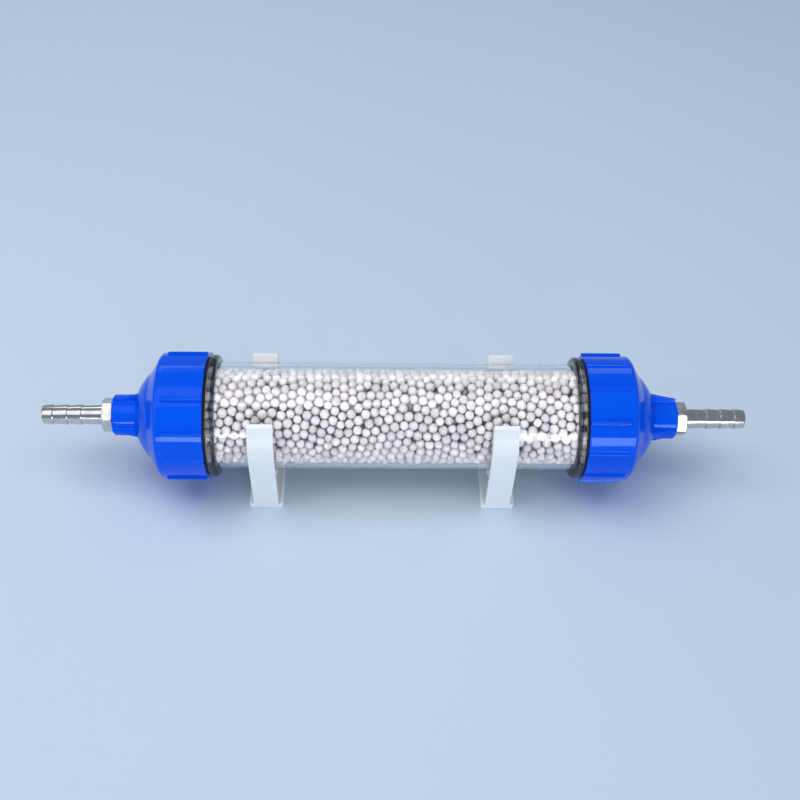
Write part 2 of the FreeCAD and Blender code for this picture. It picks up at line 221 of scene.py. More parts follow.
def shadeBetween(material, source, first, second, start=0.3, end=0.7):
    # two colours mixed by a texture
    nodes, links = material.node_tree.nodes, material.node_tree.links
    ramp = nodes.new("ShaderNodeValToRGB")
    ramp.color_ramp.elements[0].position = start
    ramp.color_ramp.elements[1].position = end
    ramp.color_ramp.elements[0].color = (*first, 1.0)
    ramp.color_ramp.elements[1].color = (*second, 1.0)
    links.new(source, ramp.inputs["Fac"])
    return ramp.outputs["Color"]


def feed(material, source, label):
    shader = material.node_tree.nodes["Principled BSDF"]
    material.node_tree.links.new(source, shader.inputs[label])


def addBump(material, source, depth, under=None):
    # depth in metres from the texture's black to its white
    nodes, links = material.node_tree.nodes, material.node_tree.links
    bump = nodes.new("ShaderNodeBump")
    bump.inputs["Distance"].default_value = depth
    bump.inputs["Strength"].default_value = 1.0
    links.new(source, bump.inputs["Height"])
    if under is not None:
        links.new(under, bump.inputs["Normal"])
    return bump.outputs["Normal"]


def makeCapPlastic():
    # deep blue glossy moulding with a faint ripple and handling haze; the specular tint gives its
    # reflections a painted blue cast
    material = newMaterial("capBluePlastic", Specular_IOR_Level=0.42, IOR=1.38,
                           Specular_Tint=(0.42, 0.70, 1.0, 1.0))
    cloud = addTexture(material, "Noise", Scale=60.0, Detail=3.0)
    feed(material, shadeBetween(material, cloud, *tones["cap"]), "Base Color")
    haze = addTexture(material, "Noise", Scale=220.0, Detail=5.0)
    feed(material, spreadOver(material, haze, 0.035, 0.10), "Roughness")
    ripple = addTexture(material, "Noise", Scale=90.0, Detail=1.0)
    grain = addTexture(material, "Noise", Scale=2600.0, Detail=2.0)
    under = addBump(material, ripple, 0.00006)
    feed(material, addBump(material, grain, 0.000004, under), "Normal")
    return material


def makeClearPlastic(name, tint):
    # clear moulding with draw lines along it; lamps shine through to the beads
    material = newMaterial(name, Base_Color=(*tint, 1.0), IOR=1.49, Transmission_Weight=1.0)
    drawn = addTexture(material, "Noise", (6.0, 260.0, 260.0), Scale=1.0, Detail=3.0)
    smudge = addTexture(material, "Noise", Scale=45.0, Detail=4.0)
    feed(material, spreadOver(material, smudge, 0.0, 0.035, 0.45, 0.8), "Roughness")
    feed(material, addBump(material, drawn, 0.00002), "Normal")
    nodes, links = material.node_tree.nodes, material.node_tree.links
    rays = nodes.new("ShaderNodeLightPath")
    through = nodes.new("ShaderNodeBsdfTransparent")
    through.inputs["Color"].default_value = (0.93, 0.95, 0.96, 1.0)
    choose = nodes.new("ShaderNodeMixShader")
    links.new(rays.outputs["Is Shadow Ray"], choose.inputs[0])
    links.new(nodes["Principled BSDF"].outputs[0], choose.inputs[1])
    links.new(through.outputs[0], choose.inputs[2])
    links.new(choose.outputs[0], nodes["Material Output"].inputs["Surface"])
    return material


def makeBeadCeramic(name, shades):
    # chalky off-white beads, each with its own tone
    material = newMaterial(name, Roughness=0.62, Specular_IOR_Level=0.35)
    nodes, links = material.node_tree.nodes, material.node_tree.links
    tone = nodes.new("ShaderNodeAttribute")
    tone.attribute_name = "beadTone"
    speck = addTexture(material, "Noise", Scale=900.0, Detail=4.0)
    together = nodes.new("ShaderNodeMath")
    together.operation = "MULTIPLY_ADD"
    together.inputs[1].default_value = 0.35
    links.new(speck, together.inputs[0])
    links.new(tone.outputs["Fac"], together.inputs[2])
    feed(material, shadeBetween(material, together.outputs[0], *shades, 0.15, 1.0), "Base Color")
    pores = addTexture(material, "Noise", Scale=2400.0, Detail=3.0)
    dents = addTexture(material, "Noise", Scale=420.0, Detail=1.0)
    under = addBump(material, dents, 0.00014)
    feed(material, addBump(material, pores, 0.00002, under), "Normal")
    return material


def makeBarbMetal():
    # bright turned metal: tool rings round the axis and faint clouding
    material = newMaterial("turnedMetal", Metallic=1.0)
    cloud = addTexture(material, "Noise", Scale=240.0, Detail=3.0)
    feed(material, shadeBetween(material, cloud, *tones["metal"]), "Base Color")
    rings = addTexture(material, "Noise", (5200.0, 60.0, 60.0), Scale=1.0, Detail=2.0)
    feed(material, spreadOver(material, rings, 0.10, 0.24), "Roughness")
    feed(material, addBump(material, rings, 0.000006), "Normal")
    return material


def makeSealRubber():
    material = newMaterial("sealRubber", Specular_IOR_Level=0.4)
    cloud = addTexture(material, "Noise", Scale=500.0, Detail=3.0)
    feed(material, shadeBetween(material, cloud, *tones["rubber"]), "Base Color")
    feed(material, spreadOver(material, cloud, 0.38, 0.60), "Roughness")
    grain = addTexture(material, "Noise", Scale=3500.0, Detail=2.0)
    feed(material, addBump(material, grain, 0.00001), "Normal")
    return material


def makeFilterFoam():
    # open-cell foam: round cells with thin walls, the cell hollows painted dark as their shade
    material = newMaterial("filterFoam", Roughness=0.95, Specular_IOR_Level=0.15)
    cells = addTexture(material, "Voronoi", Scale=1100.0)
    feed(material, shadeBetween(material, cells, *tones["foam"], 0.1, 0.55), "Base Color")
    feed(material, addBump(material, cells, 0.0005), "Normal")
    return material


def makeStrainerPlastic():
    material = newMaterial("strainerPlastic", Specular_IOR_Level=0.4)
    cloud = addTexture(material, "Noise", Scale=150.0, Detail=3.0)
    feed(material, shadeBetween(material, cloud, *tones["strainer"]), "Base Color")
    feed(material, spreadOver(material, cloud, 0.35, 0.50), "Roughness")
    grain = addTexture(material, "Noise", Scale=1800.0, Detail=2.0)
    feed(material, addBump(material, grain, 0.00001), "Normal")
    return material


def makeClipPlastic():
    # off-white moulded clip: satin skin, soft flow marks and a few scuffs; its cool bluish cast is painted
    # reflection on top of the real off-white
    material = newMaterial("clipPlastic", Specular_IOR_Level=0.45)
    flow = addTexture(material, "Noise", (25.0, 90.0, 25.0), Scale=1.0, Detail=4.0)
    feed(material, shadeBetween(material, flow, *tones["clip"]), "Base Color")
    scuff = addTexture(material, "Noise", (160.0, 160.0, 900.0), Scale=1.0, Detail=5.0)
    feed(material, spreadOver(material, scuff, 0.34, 0.52), "Roughness")
    skin = addTexture(material, "Noise", Scale=1500.0, Detail=2.0)
    feed(material, addBump(material, skin, 0.000012), "Normal")
    return material


def makeFloorPaint():
    # pale and plain, and fading into the sky well away from the object
    material = newMaterial("paleFloor", Base_Color=studio["floorColour"], Roughness=0.75,
                           Specular_IOR_Level=0.2)
    nodes, links = material.node_tree.nodes, material.node_tree.links
    where = nodes.new("ShaderNodeTexCoord")
    reach = nodes.new("ShaderNodeVectorMath")
    reach.operation = "LENGTH"
    links.new(where.outputs["Object"], reach.inputs[0])
    gone = nodes.new("ShaderNodeBsdfTransparent")
    fade = nodes.new("ShaderNodeMixShader")
    faded = spreadOver(material, reach.outputs["Value"], 0.0, 1.0, *studio["floorFade"])
    links.new(faded, fade.inputs[0])
    links.new(nodes["Principled BSDF"].outputs[0], fade.inputs[1])
    links.new(gone.outputs[0], fade.inputs[2])
    links.new(fade.outputs[0], nodes["Material Output"].inputs["Surface"])
    return material


# Shapes about the tube's axis

def roundAxis(x, radius, angle):
    # angle from straight up, turning right-handed about the axis
    return Vector((x, -radius * math.sin(angle), radius * math.cos(angle)))


def roundedOutline(corners, perArc=5, hold=0.25):
    # each (x, radius, round) corner becomes an arc, held flat just before and after it
    outline = []
    for number, (x, radius, size) in enumerate(corners):
        here = Vector((x, radius))
        back = Vector(corners[number - 1][:2]) - here
        ahead = Vector(corners[(number + 1) % len(corners)][:2]) - here
        if size == 0:
            outline.append(here)
            continue
        half = back.angle(ahead) / 2
        reach = min(size / math.tan(half), back.length * arcShare, ahead.length * arcShare)
        back.normalize()
        ahead.normalize()
        centre = here + (back + ahead).normalized() * (reach / math.cos(half))
        start = here + back * reach - centre
        sweep = here + ahead * reach - centre
        first = math.atan2(start.y, start.x)
        bend = (math.atan2(sweep.y, sweep.x) - first + math.pi) % math.tau - math.pi
        outline.append(centre + start + back * min(hold, reach * 0.5))
        for step in range(perArc + 1):
            angle = first + bend * step / perArc
            outline.append(centre + Vector((math.cos(angle), math.sin(angle))) * start.length)
        outline.append(centre + sweep + ahead * min(hold, reach * 0.5))
    return outline


def spunShape(points, closed, axis, steps):
    # an outline turned once round an axis; a closed one joins its last point to its first
    mesh = bmesh.new()
    spots = [mesh.verts.new(point) for point in points]
    following = spots[1:] + spots[:1] if closed else spots[1:]
    edges = [mesh.edges.new(pair) for pair in zip(spots, following)]
    bmesh.ops.spin(mesh, geom=spots + edges, cent=(0, 0, 0), axis=axis, dvec=(0, 0, 0),
                   angle=math.tau, steps=steps, use_merge=True, use_duplicate=False)
    bmesh.ops.remove_doubles(mesh, verts=mesh.verts, dist=mergeDistance)
    bmesh.ops.recalc_face_normals(mesh, faces=mesh.faces)
    return mesh


def turnedShape(corners, steps):
    # (x, radius, round) corners turned about the tube's axis
    points = [(point.x, 0.0, point.y) for point in roundedOutline(corners)]
    return spunShape(points, True, (1, 0, 0), steps)


def loftedShape(sections):
    # a ring of points extruded from each cross section to the next
    mesh = bmesh.new()
    order = mesh.verts.layers.int.new("order")
    bmesh.ops.create_circle(mesh, segments=len(sections[0]), radius=1.0)
    for number, spot in enumerate(mesh.verts):
        spot[order] = number
        spot.co = sections[0][number]
    rim = mesh.edges[:]
    for section in sections[1:]:
        grown = bmesh.ops.extrude_edge_only(mesh, edges=rim)["geom"]
        rim = []
        for part in grown:
            if isinstance(part, bmesh.types.BMVert):
                part.co = section[part[order]]
            elif isinstance(part, bmesh.types.BMEdge) and part.is_boundary:
                rim.append(part)
    bmesh.ops.remove_doubles(mesh, verts=mesh.verts, dist=mergeDistance)
    openEdges = [edge for edge in mesh.edges if edge.is_boundary]
    if openEdges:
        bmesh.ops.holes_fill(mesh, edges=openEdges, sides=0)
    bmesh.ops.recalc_face_normals(mesh, faces=mesh.faces)
    return mesh


def endPlace(side, turn=0.0):
    # puts a shape drawn for the right end at either end of the tube
    lift = Matrix.Translation((0.0, 0.0, axisHeight * metresPerMillimetre))
    swing = Matrix.Rotation(math.radians(endTurns[side]), 4, "Z")
    return lift @ swing @ Matrix.Rotation(math.radians(turn), 4, "X")


def addPiece(name, mesh, material, body, replaced=(), place=None, sharpAbove=35.0):
    bmesh.ops.transform(mesh, matrix=Matrix.Scale(metresPerMillimetre, 4), verts=mesh.verts)
    if place is not None:
        bmesh.ops.transform(mesh, matrix=place, verts=mesh.verts)
    data = bpy.data.meshes.new(name)
    mesh.to_mesh(data)
    mesh.free()
    data.shade_smooth()
    data.set_sharp_from_angle(angle=math.radians(sharpAbove))
    data.materials.append(material)
    piece = bpy.data.objects.new(name, data)
    bpy.context.scene.collection.objects.link(piece)
    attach(piece, body)
    if replaced:
        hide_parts(*replaced)
    return piece


# Screw caps: a skirt with grip ribs, a domed end and a round neck with four gussets

capLow, capHigh = nodeBox("right_cap")
screwCap = {
    "turns": {"right": -14.6, "left": 2.1},
    "around": 360,
    "skirtRadius": 29.2,
    "rimChamfer": 0.4,
    "ribCount": 12,
    "ribHeight": 1.3,
    "ribHalfWidth": 0.85,
    "ribLength": 18.6,
    "ribFade": 0.9,
    "ribSteps": (16.1, 12.6, 8.6, 4.6, 2.0, 1.0, 0.8, 0.6, 0.4, 0.25, 0.12, 0.04, 0.0, -0.06, -0.4),
    "skirtSkin": 0.9,         # what lies this far outside the counterbore is the skirt's outside
    "shoulderRound": 2.4,
    "coneAngle": 60.0,
    "turnSetback": 1.0,       # past the ribs, where the points start to move to the gussets' spacing
    "turnSpare": 4.0,
    "stepLength": 26.0,
    "stepRadius": 21.2,
    "stepRound": 0.8,
    "sphereRadius": 29.0,
    "domeSteps": 8,
    "domeRings": (13.3, 13.1, 12.8, 12.5),
    "domeEndRadius": 12.2,
    "finCount": 4,
    "finHalfWidth": 0.75,
    "finRootRadius": 13.5,
    "finTipRadius": 10.8,
    "finSetback": 0.7,
    "neckRadius": 9.6,
    "neckRise": (
        # from the dome: mm along, share of the ledge's radius, and mm along at a gusset
        (0.04, 0.985, 0.15), (0.12, 0.95, 0.35), (0.18, 0.88, 0.6), (0.2, 0.6, 0.85),
        (0.2, 0.3, 1.1), (0.24, 0.13, 1.35), (0.36, 0.05, 1.6), (0.6, 0.012, 1.9),
        (0.95, 0.0, 2.2), (2.8, 0.0, 2.8), (5.0, 0.0, 5.0), (7.5, 0.0, 7.5),
    ),
    "neckChamfer": 0.7,
    "neckFaceShare": 0.985,
    "neckBore": 6.6,
    "boreRings": (9.0, 12.0, 15.0, 17.7),
    "domeWall": 2.8,
    "counterboreRadius": 27.6,
    "counterboreDepth": 1.3,
    "threadBore": 27.1,
    "recessRadius": 24.6,
    "ledgeRadius": 22.1,
    "shoulderX": 100.2,
    "ledgeX": 102.6,
    "plenumLength": 4.0,
}


def ribSpacing():
    # sideways places, in mm from a rib's middle, of half of one rib's share of the skirt
    share = math.pi * screwCap["skirtRadius"] / screwCap["ribCount"]
    half = screwCap["ribHalfWidth"]
    close = [0.0, 0.25, 0.45, half - 0.22, half - 0.08, half, half + 0.1, half + 0.3, half + 0.65]
    perHalf = screwCap["around"] // screwCap["ribCount"] // 2
    left, beside = perHalf + 1 - len(close), close[-1]
    for step in range(1, left + 1):
        close.append(beside + (share - beside) * step / left)
    return close


def ribProfile():
    # how much of a rib's height each of those places has
    heights = [1.0, 1.0, 0.985, 0.93, 0.72, 0.34, 0.10, 0.015]
    perHalf = screwCap["around"] // screwCap["ribCount"] // 2
    return heights + [0.0] * (perHalf + 1 - len(heights))


def neckSpacing():
    # places beside a gusset's middle: mm sideways, share of the way on to the next
    # gusset's half, and the share of the gusset's height there
    half = screwCap["finHalfWidth"]
    places = [(0.0, 0.0, 1.0), (half * 0.4, 0.0, 1.0), (half * 0.7, 0.0, 0.985),
              (half * 0.9, 0.0, 0.94), (half, 0.0, 0.84), (half, 0.0, 0.5),
              (half + 0.01, 0.0, 0.22), (half + 0.06, 0.0, 0.08), (half + 0.22, 0.0, 0.015)]
    perHalf = screwCap["around"] // screwCap["finCount"] // 2
    left, beside = perHalf + 1 - len(places), places[-1][0]
    for step in range(1, left + 1):
        places.append((beside, step / left, 0.0))
    return places


def buildCap():
    cap = screwCap
    rimX, neckEndX = capLow.x, capHigh.x
    around = cap["around"]
    perRib = around // cap["ribCount"]
    perFin = around // cap["finCount"]
    ribPlaces, ribHeights = ribSpacing(), ribProfile()
    neckPlaces = neckSpacing()

    skirtAngles, ribShares, neckSpots = [], [], []
    for number in range(around):
        step = number % perRib
        near = min(step, perRib - step)
        sign = 1 if step <= perRib / 2 else -1
        middle = math.tau * round((number - sign * near) / perRib) / cap["ribCount"]
        skirtAngles.append(middle + sign * ribPlaces[near] / cap["skirtRadius"])
        ribShares.append(ribHeights[near])
        step = number % perFin
        near = min(step, perFin - step)
        sign = 1 if step <= perFin / 2 else -1
        middle = round((number - sign * near) / perFin) * math.tau / cap["finCount"]
        neckSpots.append((middle, sign, *neckPlaces[near]))

    def besideFin(sign, sideways, onward, radius):
        # angle off the gusset's middle: a fixed width near it, an even spread beyond
        near = math.asin(sideways / radius)
        return sign * (near + (math.pi / cap["finCount"] - near) * onward)

    def skirtSection(x, radius):
        # grip ribs stand on the skirt alone, and run out before the shoulder
        ribEndX = rimX + cap["ribLength"]
        fade = min(max((ribEndX - x) / cap["ribFade"], 0.0), 1.0)
        lift = cap["ribHeight"] * math.sqrt(1 - (1 - fade) ** 2)
        onSkirt = radius > cap["counterboreRadius"] + cap["skirtSkin"]
        turnLength = cap["stepLength"] - cap["ribLength"] + cap["turnSpare"]
        turnShare = min(max((x - ribEndX - cap["turnSetback"]) / turnLength, 0.0), 1.0)
        section = []
        for number in range(around):
            middle, sign, sideways, onward, share = neckSpots[number]
            neckAngle = middle + besideFin(sign, sideways, onward, radius)
            angle = skirtAngles[number] * (1 - turnShare) + neckAngle * turnShare
            section.append(roundAxis(x, radius + (lift * ribShares[number] if onSkirt else 0.0), angle))
        return section

    def neckSection(x, radius, finX, limit=math.inf):
        # round between the gussets, which slope down from the dome to the neck's end
        slope = min((finX - finRootX) / (neckEndX - cap["finSetback"] - finRootX), 1.0)
        finRadius = cap["finRootRadius"] + (cap["finTipRadius"] - cap["finRootRadius"]) * slope
        section = []
        for middle, sign, sideways, onward, share in neckSpots:
            angle = besideFin(sign, sideways, onward, radius)
            base = Vector((math.sin(angle), math.cos(angle))) * radius
            top = Vector((sign * sideways, max(finRadius, base.y)))
            spot = base.lerp(top, share)
            reach = min(spot.length, limit)
            turned = middle + math.atan2(spot.x, spot.y)
            section.append(roundAxis(x + (finX - x) * share, reach, turned))
        return section

    sphereX = rimX + cap["stepLength"] - math.sqrt(cap["sphereRadius"] ** 2 - cap["stepRadius"] ** 2)
    neckRootX = sphereX + math.sqrt(cap["sphereRadius"] ** 2 - cap["domeEndRadius"] ** 2)
    finRootX = sphereX + math.sqrt(cap["sphereRadius"] ** 2 - cap["finRootRadius"] ** 2)
    coneFall = cap["skirtRadius"] - cap["stepRadius"]
    coneX = rimX + cap["stepLength"] - coneFall / math.tan(math.radians(cap["coneAngle"]))

    skirt = [(rimX, cap["counterboreRadius"], 0.15), (rimX, cap["skirtRadius"], cap["rimChamfer"])]
    for back in cap["ribSteps"]:
        skirt.append((rimX + cap["ribLength"] - back, cap["skirtRadius"], 0))
    skirt.append((coneX, cap["skirtRadius"], cap["shoulderRound"]))
    dome = []
    startAngle = math.asin(cap["stepRadius"] / cap["sphereRadius"])
    endAngle = math.asin(cap["finRootRadius"] / cap["sphereRadius"])
    for step in range(cap["domeSteps"] + 1):
        angle = startAngle + (endAngle - startAngle) * step / cap["domeSteps"]
        x = sphereX + cap["sphereRadius"] * math.cos(angle)
        dome.append((x, cap["sphereRadius"] * math.sin(angle), 0 if step else cap["stepRound"]))
    outside = roundedOutline(skirt + dome + [(neckRootX, 0.0, 0)], 6)[:-1]
    sections = [skirtSection(point.x, point.y) for point in outside]
    for radius in (*cap["domeRings"], cap["domeEndRadius"]):
        x = sphereX + math.sqrt(cap["sphereRadius"] ** 2 - radius ** 2)
        sections.append(neckSection(x, radius, x))

    end = neckEndX - neckRootX
    chamfer = cap["neckChamfer"]
    ledge = cap["domeEndRadius"] - cap["neckRadius"]
    for base, ring, fin in cap["neckRise"]:
        radius = cap["neckRadius"] + ledge * ring
        sections.append(neckSection(neckRootX + base, radius, neckRootX + fin))
    for x in (end - cap["finSetback"] - 0.4, end - cap["finSetback"]):
        sections.append(neckSection(neckRootX + x, cap["neckRadius"], neckRootX + x))
    trims = ((end - chamfer + 0.02, 0.02), (end - chamfer * 0.75, 0.25), (end - chamfer * 0.4, 0.6),
             (end - 0.12, 0.88), (end - 0.03, 1.1))
    for x, trim in trims:
        radius = cap["neckRadius"] - chamfer * trim
        sections.append(neckSection(neckRootX + x, radius, neckRootX + x, radius))
    sections.append([spot * cap["neckFaceShare"] for spot in sections[-1]])
    for spot in sections[-1]:
        spot.x = neckEndX

    innerSphere = cap["sphereRadius"] - cap["domeWall"]
    bore = [(neckEndX, cap["neckBore"], 0.3)]
    for radius in (cap["neckBore"], *cap["boreRings"]):
        bore.append((sphereX + math.sqrt(innerSphere ** 2 - radius ** 2), radius, 0))
    plenumX = cap["ledgeX"] + cap["plenumLength"]
    threadX = rimX + cap["counterboreDepth"]
    bore += [(plenumX, cap["ledgeRadius"], 0.6), (cap["ledgeX"], cap["ledgeRadius"], 0.2),
             (cap["ledgeX"], cap["recessRadius"], 0.1), (cap["shoulderX"], cap["recessRadius"], 0.1),
             (cap["shoulderX"], cap["threadBore"], 0.1), (threadX, cap["threadBore"], 0.1),
             (threadX, cap["counterboreRadius"], 0.1), (rimX, cap["counterboreRadius"], 0)]
    hollow = roundedOutline([(neckEndX, cap["neckBore"] + 1.2, 0)] + bore, 3)
    sections += [skirtSection(point.x, point.y) for point in hollow[:-1]]
    sections.append(sections[0])
    return loftedShape(sections)


def addCaps(material):
    for side in endTurns:
        place = endPlace(side, screwCap["turns"][side])
        addPiece(side + "_screw_cap", buildCap(), material, side + "_cap",
                 [side + "_cap"], place)
    print("caps built")


# Hose barbs: threaded shank, chamfered hexagon and three saw-toothed rings

barbLow, barbHigh = nodeBox("right_hose_barb")
hoseBarb = {
    "turns": {"right": 58.2, "left": 29.5},
    "around": 144,
    "boreRadius": 3.0,
    "shankLength": 11.0,
    "shankRadius": 6.5,
    "hexAcrossFlats": 14.0,
    "hexThickness": 4.75,
    "hexChamfer": 0.8,
    "stemRadius": 4.7,
    "stemLength": 10.1,
    "valleyRadius": 4.25,
    "crestRadius": 4.85,
    "pitch": 6.6,
    "toothCount": 3,
    "tipRadius": 4.3,
    "tipRound": 0.7,
}


def buildBarb():
    barb = hoseBarb
    around = barb["around"]
    startX, tipX = barbLow.x, barbHigh.x
    nutX = startX + barb["shankLength"]
    nutEndX = nutX + barb["hexThickness"]
    flatHalf = barb["hexAcrossFlats"] / 2
    cornerRadius = flatHalf / math.cos(math.radians(30))
    perFlat = around // 6

    def ring(x, radius):
        return [roundAxis(x, radius, math.tau * number / around) for number in range(around)]

    def nutRing(x, limit):
        # flats of the hexagon, cut to a cone near its ends
        section = []
        for number in range(around):
            offCorner = (number - perFlat // 2) % perFlat - perFlat / 2
            toFlat = flatHalf / math.cos(math.tau * offCorner / around)
            section.append(roundAxis(x, min(toFlat, limit), math.tau * number / around))
        return section

    shank = [(startX, barb["boreRadius"], 0.25), (startX, barb["shankRadius"] - 0.6, 0),
             (startX + 0.6, barb["shankRadius"], 0), (nutX, barb["shankRadius"], 0)]
    outline = roundedOutline(shank, 4)
    sections = [ring(point.x, point.y) for point in outline]
    chamfer = barb["hexChamfer"]
    faceRadius = cornerRadius - chamfer
    sections += [ring(nutX, barb["shankRadius"] + 0.1), ring(nutX, faceRadius - 0.35),
                 ring(nutX + 0.02, faceRadius)]
    rise = [(0.08, 0.2), (0.16, 0.4), (0.25, 0.62), (0.33, 0.82), (0.4, 1.0)]
    for depth, share in rise:
        sections.append(nutRing(nutX + depth, faceRadius + chamfer * share))
    sections.append(nutRing(nutX + 0.7, cornerRadius - 0.02))
    sections.append(nutRing(nutEndX - 0.7, cornerRadius - 0.02))
    for depth, share in reversed(rise):
        sections.append(nutRing(nutEndX - depth, faceRadius + chamfer * share))
    sections += [ring(nutEndX - 0.02, faceRadius), ring(nutEndX, faceRadius - 0.35),
                 ring(nutEndX, faceRadius - 0.7)]

    tail = [(nutEndX, barb["stemRadius"], 0.25)]
    x = nutEndX + barb["stemLength"]
    for tooth in range(barb["toothCount"]):
        tail += [(x, barb["valleyRadius"], 0.05), (x, barb["crestRadius"], 0.09)]
        x += barb["pitch"]
    tail.append((tipX, barb["tipRadius"], barb["tipRound"]))
    tail += [(tipX, barb["boreRadius"], 0.2), (startX, barb["boreRadius"], 0)]
    tailOutline = roundedOutline([(nutEndX, barb["stemRadius"] + 0.9, 0)] + tail, 4, 0.12)
    sections += [ring(point.x, point.y) for point in tailOutline[:-1]]
    sections.append(sections[0])
    return loftedShape(sections)


def addBarbs(material):
    for side in endTurns:
        place = endPlace(side, hoseBarb["turns"][side])
        addPiece(side + "_barb_fitting", buildBarb(), material, side + "_cap",
                 [side + "_hose_barb"], place)
    print("hose barbs built")


# Clear tube with its collars and screw threads

clearTube = {
    "outerRadius": 25.0,
    "wall": 2.5,
    "collarWidth": 3.5,
    "collarRound": 1.7,
    "collarEdge": 0.45,
    "landLength": 14.4,
    "grooveRadius": 25.5,
    "grooveWidth": 2.1,
    "landRadius": 26.0,
    "leadIn": 1.0,
    "around": 288,
}
tubeThread = {
    "crestRadius": 26.8,
    "pitch": 4.0,
    "turns": 2.2,
    "startX": 88.7,
    "footHalf": 1.15,
    "crestHalf": 0.45,
    "perTurn": 120,
    "runOut": 35.0,
}


def buildTube():
    tube = clearTube
    outer, end = tube["outerRadius"], tubeHigh.x
    collar = tubeHigh.z - axisHeight
    collarX = end - tube["landLength"]
    grooveX = collarX + tube["grooveWidth"]
    half = [(collarX - tube["collarWidth"], outer, 0.3),
            (collarX - tube["collarWidth"], collar, tube["collarRound"]),
            (collarX, collar, tube["collarEdge"]), (collarX, tube["grooveRadius"], 0.15),
            (grooveX, tube["grooveRadius"], 0.1), (grooveX, tube["landRadius"], 0.1),
            (end - tube["leadIn"], tube["landRadius"], 0.2),
            (end, tube["landRadius"] - tube["leadIn"], 0.2), (end, outer - tube["wall"], 0.25)]
    mirrored = [(-x, radius, size) for x, radius, size in reversed(half)]
    return turnedShape(half + mirrored, tube["around"])


def buildThread():
    thread = tubeThread
    steps = round(thread["turns"] * thread["perTurn"])
    foot = clearTube["landRadius"] - 0.15
    sections = []
    for step in range(steps + 1):
        angle = math.tau * step / thread["perTurn"]
        x = thread["startX"] + thread["pitch"] * step / thread["perTurn"]
        toEnd = min(step, steps - step) * 360.0 / thread["perTurn"]
        grown = math.sin(math.pi / 2 * min((toEnd + 1.0) / thread["runOut"], 1.0))
        crest = foot + (thread["crestRadius"] - foot) * grown
        wide, narrow = thread["footHalf"] * (0.5 + grown / 2), thread["crestHalf"]
        shape = [(-wide, foot), (-narrow - 0.12, crest - 0.1), (-narrow, crest), (narrow, crest),
                 (narrow + 0.12, crest - 0.1), (wide, foot)]
        sections.append([roundAxis(x + along, radius, angle) for along, radius in shape])
    return loftedShape(sections)


def addTube(material, collarShadeMaterial, edgeShadeMaterial):
    # the collars are painted darker than the wall, darkest along their rounded inner edge: painted shade in
    # place of the dark bands that bent light gives there
    piece = addPiece("clear_tube", buildTube(), material, "tube", ["tube_body"],
                     endPlace("right"))
    piece.data.materials.append(collarShadeMaterial)
    piece.data.materials.append(edgeShadeMaterial)
    collarX = tubeHigh.x - clearTube["landLength"]
    flatX = collarX - clearTube["collarWidth"] + clearTube["collarRound"]
    slack = 0.1
    # collar faces take the painted shade, the darkest on the collar's rounded inner edge
    for face in piece.data.polygons:
        spot = face.center / metresPerMillimetre
        reach = math.hypot(spot.y, spot.z - axisHeight)
        if reach > clearTube["outerRadius"] + slack and abs(spot.x) < collarX + slack:
            face.material_index = 2 if abs(spot.x) < flatX else 1
    for side in endTurns:
        addPiece(side + "_tube_thread", buildThread(), material, "tube",
                 place=endPlace(side))
    print("tube and threads built")


# Desiccant beads, packed against the tube's wall

bedLow, bedHigh = nodeBox("desiccant_beads")
beadBed = {
    "seed": 41,
    "winding": 2.39996,
    "shake": 2.6,
    "smallest": 1.84,
    "usual": 2.18,
    "largest": 2.38,
    "outerFill": 0.885,
    "innerFill": 0.76,
    "innerDepth": 3.35,
    "coreDepth": 7.3,
    "coreSetback": 2.0,
    "coreRound": 1.5,
    "rounds": 132,
    "roundsPerSearch": 6,
    "searchSpare": 0.7,
    "pullBack": (0.5, 0.12),  # share of the way to its own depth, for each layer
    "sink": 0.55,
}


def scatterBeads():
    # spreads two layers along a winding line, shakes them, then lets overlapping beads
    # push each other apart
    bed = beadBed
    random.seed(bed["seed"])
    halfLength, radius = bedHigh.x, bedHigh.z - axisHeight
    beads = []
    for layer, fill in enumerate((bed["outerFill"], bed["innerFill"])):
        depth = bed["usual"] + layer * bed["innerDepth"]
        area = math.tau * (radius - depth) * 2 * halfLength
        count = round(fill * area / (math.pi * bed["usual"] ** 2))
        for number in range(count):
            size = random.triangular(bed["smallest"], bed["largest"], bed["usual"])
            sink = random.random() ** 3 * bed["sink"]
            reach = radius - size - sink - layer * bed["innerDepth"]
            x = ((2 * number + 1) / count - 1) * (halfLength - size)
            x += random.uniform(-bed["shake"], bed["shake"])
            angle = number * bed["winding"] + random.uniform(-bed["shake"], bed["shake"]) / radius
            beads.append([roundAxis(x, reach, angle), size, reach, layer])
    widest = 2 * bed["largest"]
    for turn in range(bed["rounds"]):
        if turn % bed["roundsPerSearch"] == 0:
            tree = kdtree.KDTree(len(beads))
            for number, bead in enumerate(beads):
                tree.insert(bead[0], number)
            tree.balance()
            pairs = []
            for number, bead in enumerate(beads):
                for spot, other, gap in tree.find_range(bead[0], widest + bed["searchSpare"]):
                    if other > number:
                        pairs.append((bead, beads[other]))
        for bead, other in pairs:
            apart = other[0] - bead[0]
            overlap = bead[1] + other[1] - apart.length
            if overlap > 0:
                push = apart.normalized() * overlap * 0.5
                bead[0] -= push
                other[0] += push
        for bead in beads:
            spot, size, reach, layer = bead
            limit = halfLength - size
            spot.x = min(max(spot.x, -limit), limit)
            across = math.hypot(spot.y, spot.z)
            wanted = across + (reach - across) * bed["pullBack"][layer]
            wanted = min(wanted, radius - size)
            spot.y *= wanted / across
            spot.z *= wanted / across
    return beads


